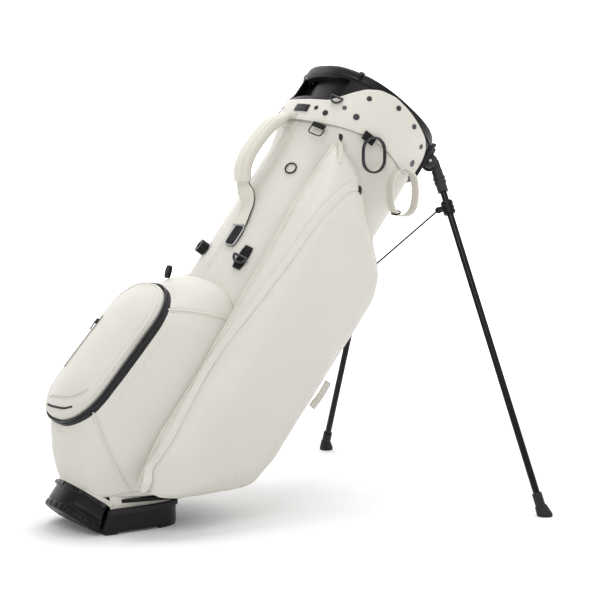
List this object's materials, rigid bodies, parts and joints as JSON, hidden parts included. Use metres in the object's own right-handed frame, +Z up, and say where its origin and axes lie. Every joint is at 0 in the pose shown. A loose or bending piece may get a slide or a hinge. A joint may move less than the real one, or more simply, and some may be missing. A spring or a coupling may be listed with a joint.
{
  "type": "golf stand bag",
  "caption": "Leaning golf bag with side and ball pockets, a divided cuff, and a hinged base plate whose push rod and struts swing two legs out.",
  "frame": {"origin": "on the ground, below the datum over the base hinge, in the bag's mid plane", "axes": "+X the way the bag leans, towards its legs; +Y across the bag; +Z up"},
  "size_m": [0.7634, 0.71, 0.7577],
  "materials": {
    "pocket_leather": "pebbled off-white",
    "strap_leather": "smooth cream",
    "black_plastic": "satin",
    "black_rubber": "matte",
    "black_webbing": "woven",
    "dark_metal": "gunmetal",
    "leg_tube_gloss": "gloss black",
    "steel": "satin"
  },
  "bodies": {
    "bag": {"front_panel": "pocket_leather", "back_panel": "pocket_leather", "near_side_panel": "pocket_leather", "far_side_panel": "pocket_leather", "lower_skirt": "pocket_leather", "upper_collar": "pocket_leather", "front_stay": "black_plastic", "back_spine": "black_plastic", "club_floor": "black_webbing", "top_cuff": "black_plastic", "divider_frame": "black_plastic", "divider_sheets": "black_webbing", "cuff_cover": "pocket_leather", "cuff_rivets": "dark_metal", "cuff_plate": "dark_metal", "base_shell": "black_plastic", "base_collar": "black_rubber", "base_rivets": "dark_metal", "base_hinge_pin": "steel", "near_pocket": "pocket_leather", "far_pocket": "pocket_leather", "ball_pocket": "pocket_leather", "ball_pocket_zip": "black_webbing", "hardware_straps": "black_webbing", "handle_anchors": "strap_leather", "strap_socket": "black_plastic", "eyelet": "black_plastic", "back_tab": "pocket_leather", "pocket_pull_loop": "black_webbing", "stand_bracket": "black_plastic", "bracket_screws": "steel"},
    "base_plate": {"foot_plate": "black_plastic", "foot_pads": "black_rubber", "plate_collar": "black_rubber"},
    "push_rod": {"push_rod": "steel", "rod_yoke": "black_plastic"},
    "drag_link": {"drag_link": "steel"},
    "near_strut": {"near_strut": "leg_tube_gloss"},
    "far_strut": {"far_strut": "leg_tube_gloss"},
    "near_leg": {"near_leg_arm": "black_plastic", "near_leg_tube": "leg_tube_gloss", "near_leg_clamp": "black_plastic", "near_leg_foot": "black_rubber"},
    "far_leg": {"far_leg_arm": "black_plastic", "far_leg_tube": "leg_tube_gloss", "far_leg_clamp": "black_plastic", "far_leg_foot": "black_rubber"},
    "ball_pocket_door": {"ball_pocket_door": "pocket_leather"},
    "coin_zip_slider": {"coin_zip_slider": "dark_metal"},
    "front_zip_slider": {"front_zip_slider": "strap_leather"},
    "side_zip_slider": {"side_zip_slider": "strap_leather"},
    "carry_handle": {"carry_handle": "strap_leather"},
    "towel_ring": {"towel_ring": "dark_metal"},
    "cuff_ring": {"cuff_ring": "dark_metal"},
    "collar_ring": {"collar_ring": "dark_metal"},
    "strap_ring": {"strap_ring": "dark_metal"},
    "umbrella_loop": {"umbrella_loop": "strap_leather"}
  },
  "joints": [
    {"name": "base_hinge", "type": "hinge", "parent": "bag", "child": "base_plate", "pos_m": [-0.00609, 0, 0.01207], "axis": [0, 1, 0], "range_deg": [0, 37.5]},
    {"name": "push_rod_slide", "type": "slide", "parent": "bag", "child": "push_rod", "axis": [0.6088, 0, 0.7934], "range_m": [-0.03292, 0]},
    {"name": "near_leg_hinge", "type": "hinge", "parent": "bag", "child": "near_leg", "pos_m": [0.64128, -0.07, 0.58798], "axis": [0.4533, 0.8206, -0.3479], "range_deg": [0, 46.77]},
    {"name": "far_leg_hinge", "type": "hinge", "parent": "bag", "child": "far_leg", "pos_m": [0.64128, 0.07, 0.58798], "axis": [-0.4533, 0.8206, 0.3479], "range_deg": [0, 46.77]},
    {"name": "far_strut_pivot", "type": "hinge", "parent": "far_leg", "child": "far_strut", "pos_m": [0.63741, 0.10271, 0.50577], "axis": [0.4533, -0.8206, -0.3479], "range_deg": [0, 63.87]},
    {"name": "near_strut_pivot", "type": "hinge", "parent": "near_leg", "child": "near_strut", "pos_m": [0.63741, -0.10271, 0.50577], "axis": [-0.4533, -0.8206, 0.3479], "range_deg": [0, 63.87]},
    {"name": "drag_link_pivot", "type": "hinge", "parent": "push_rod", "child": "drag_link", "pos_m": [0.2471, 0, 0.08249], "axis": [0, 1, 0], "range_deg": [-14.05, 0]},
    {"name": "ball_pocket_door_hinge", "type": "hinge", "parent": "bag", "child": "ball_pocket_door", "pos_m": [0.04643, 0.084, 0.28259], "axis": [-0.6533, 0, -0.7571], "range_deg": [0, 100]},
    {"name": "coin_zip_slide", "type": "slide", "parent": "ball_pocket_door", "child": "coin_zip_slider", "axis": [0.6533, 0, 0.7571], "range_m": [-0.09, 0]},
    {"name": "front_zip_slide", "type": "slide", "parent": "bag", "child": "front_zip_slider", "axis": [-0.6245, 0, -0.781], "range_m": [0, 0.1]},
    {"name": "side_zip_slide", "type": "slide", "parent": "bag", "child": "side_zip_slider", "axis": [-0.8432, 0, -0.5376], "range_m": [0, 0.06]},
    {"name": "carry_handle_swing", "type": "hinge", "parent": "bag", "child": "carry_handle", "pos_m": [0.29887, 0.004, 0.53434], "axis": [0.5677, 0.0253, 0.8229], "range_deg": [-20, 20]},
    {"name": "towel_ring_swing", "type": "hinge", "parent": "bag", "child": "towel_ring", "pos_m": [0.48057, -0.132, 0.63315], "axis": [0, 1, 0], "range_deg": [-15, 37.5]},
    {"name": "umbrella_loop_swing", "type": "hinge", "parent": "bag", "child": "umbrella_loop", "pos_m": [0.5388, -0.134, 0.58091], "axis": [0, 1, 0], "range_deg": [-15, 30]},
    {"name": "cuff_ring_swing", "type": "hinge", "parent": "bag", "child": "cuff_ring", "pos_m": [0.43822, -0.08332, 0.7022], "axis": [-0.4248, 0.8446, 0.3259], "range_deg": [0, 60]},
    {"name": "collar_ring_swing", "type": "hinge", "parent": "bag", "child": "collar_ring", "pos_m": [0.39107, -0.0605, 0.65015], "axis": [-0.2778, 0.9367, 0.2131], "range_deg": [0, 60]},
    {"name": "strap_ring_swing", "type": "hinge", "parent": "bag", "child": "strap_ring", "pos_m": [0.25541, -0.07111, 0.43913], "axis": [-0.4616, 0.8133, 0.3542], "range_deg": [0, 60]}
  ],
  "couplings": [
    {"joint": "push_rod_slide", "follows": "base_hinge", "m_per_rad": -0.050147},
    {"joint": "near_leg_hinge", "follows": "base_hinge", "ratio": 1.2466},
    {"joint": "far_leg_hinge", "follows": "base_hinge", "ratio": 1.2466},
    {"joint": "near_strut_pivot", "follows": "base_hinge", "ratio": 1.7026},
    {"joint": "far_strut_pivot", "follows": "base_hinge", "ratio": 1.7026},
    {"joint": "drag_link_pivot", "follows": "base_hinge", "ratio": -0.37407}
  ]
}
